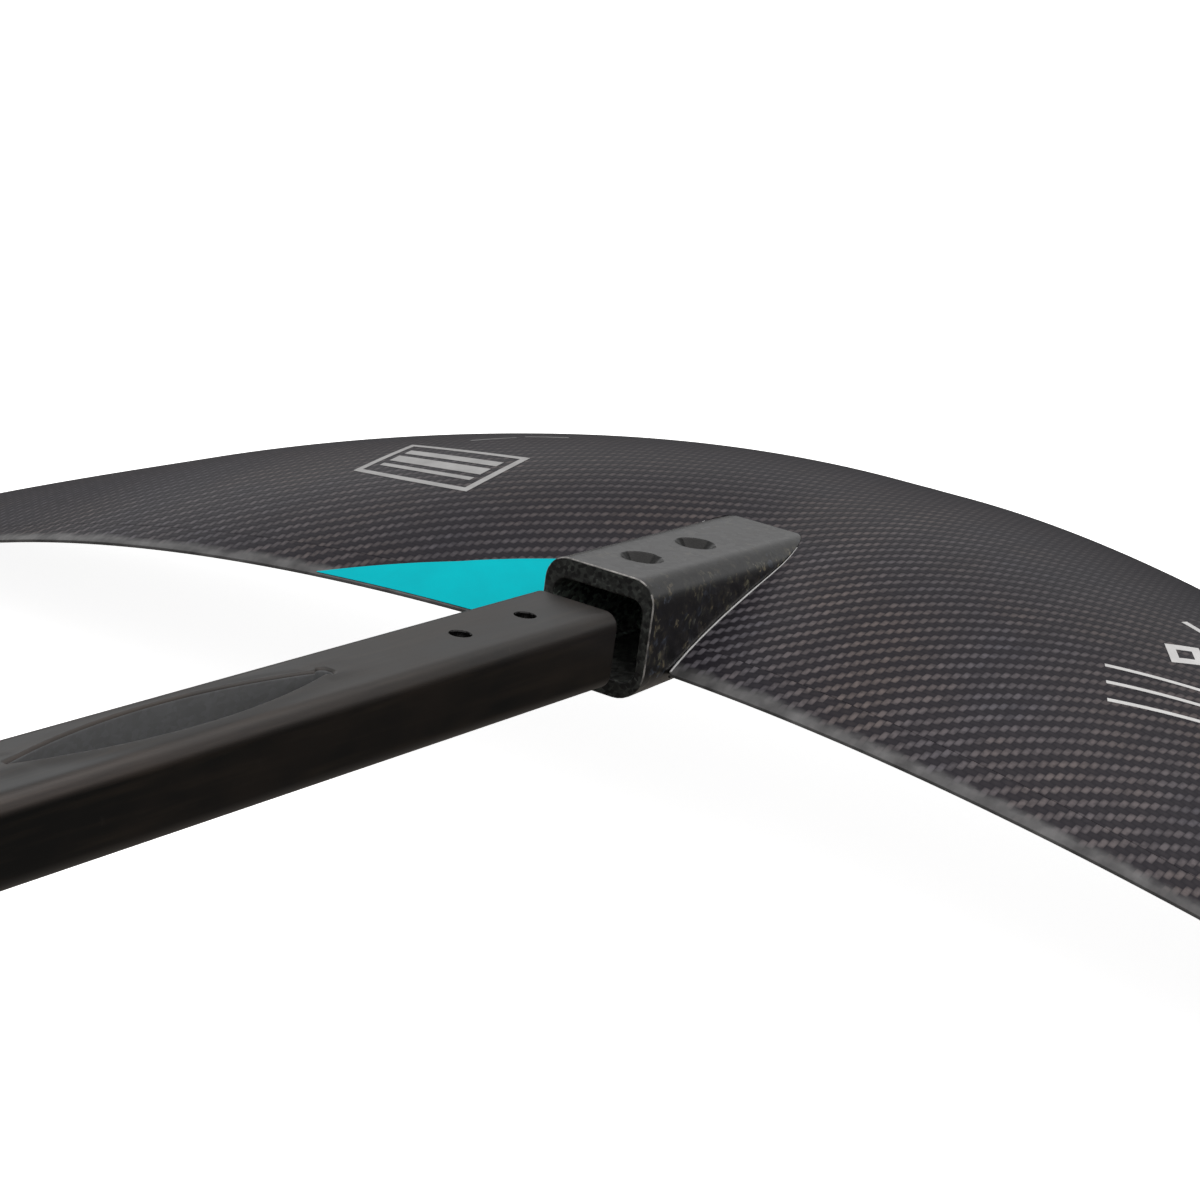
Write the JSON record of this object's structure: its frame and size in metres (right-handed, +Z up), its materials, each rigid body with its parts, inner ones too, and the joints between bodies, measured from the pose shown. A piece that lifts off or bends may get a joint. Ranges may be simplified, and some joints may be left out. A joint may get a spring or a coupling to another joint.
{
  "type": "hydrofoil front wing with fuselage",
  "caption": "Drooped moulded-carbon hydrofoil front wing with a rear-facing socket, and the slim fuselage that slides into it, with a leaf-shaped mast seat in its top.",
  "frame": {"origin": "middle of the mast seat's floor, in the top of the fuselage", "axes": "+X forward along the fuselage towards the wing's leading edge, +Y to the left, +Z up out of the mast seat"},
  "size_m": [0.9082, 0.7592, 0.1023],
  "materials": {
    "carbon_twill": "satin",
    "solid_edge": "gloss",
    "forged_carbon": "satin",
    "seam_resin": "satin",
    "foam_core": "matte",
    "insert_steel": "satin",
    "fuselage_carbon": "satin",
    "seat_laminate": "matte",
    "inner_laminate": "matte"
  },
  "bodies": {
    "wing": {"wing_top_skin": "carbon_twill", "wing_bottom_skin": "carbon_twill", "spar_cap_upper": "inner_laminate", "spar_cap_lower": "inner_laminate", "spar_web": "inner_laminate", "core_front_left": "foam_core", "core_front_right": "foam_core", "core_rear_left": "foam_core", "core_rear_right": "foam_core", "core_tip_left": "foam_core", "core_tip_right": "foam_core", "leading_edge_filler_left": "inner_laminate", "leading_edge_filler_right": "inner_laminate", "trailing_edge_left": "solid_edge", "trailing_edge_right": "solid_edge", "wing_tip_left": "solid_edge", "wing_tip_right": "solid_edge", "seam_bead_left": "seam_resin", "seam_bead_right": "seam_resin", "socket_collar": "forged_carbon", "root_block": "inner_laminate"},
    "fuselage": {"fuselage_shell": "fuselage_carbon", "nose_cap": "fuselage_carbon", "nose_block": "inner_laminate", "nose_insert_rear": "insert_steel", "nose_insert_front": "insert_steel", "fuselage_core_front": "foam_core", "mast_seat_block": "seat_laminate", "mast_sleeve_rear": "insert_steel", "mast_sleeve_front": "insert_steel", "fuselage_core_rear": "foam_core", "tail_block": "inner_laminate", "tail_insert_rear": "insert_steel", "tail_insert_front": "insert_steel", "tail_cap": "fuselage_carbon"}
  },
  "joints": [
    {"name": "fuselage_slide", "type": "slide", "parent": "wing", "child": "fuselage", "axis": [1, 0, 0], "range_m": [0, 0.088]}
  ]
}
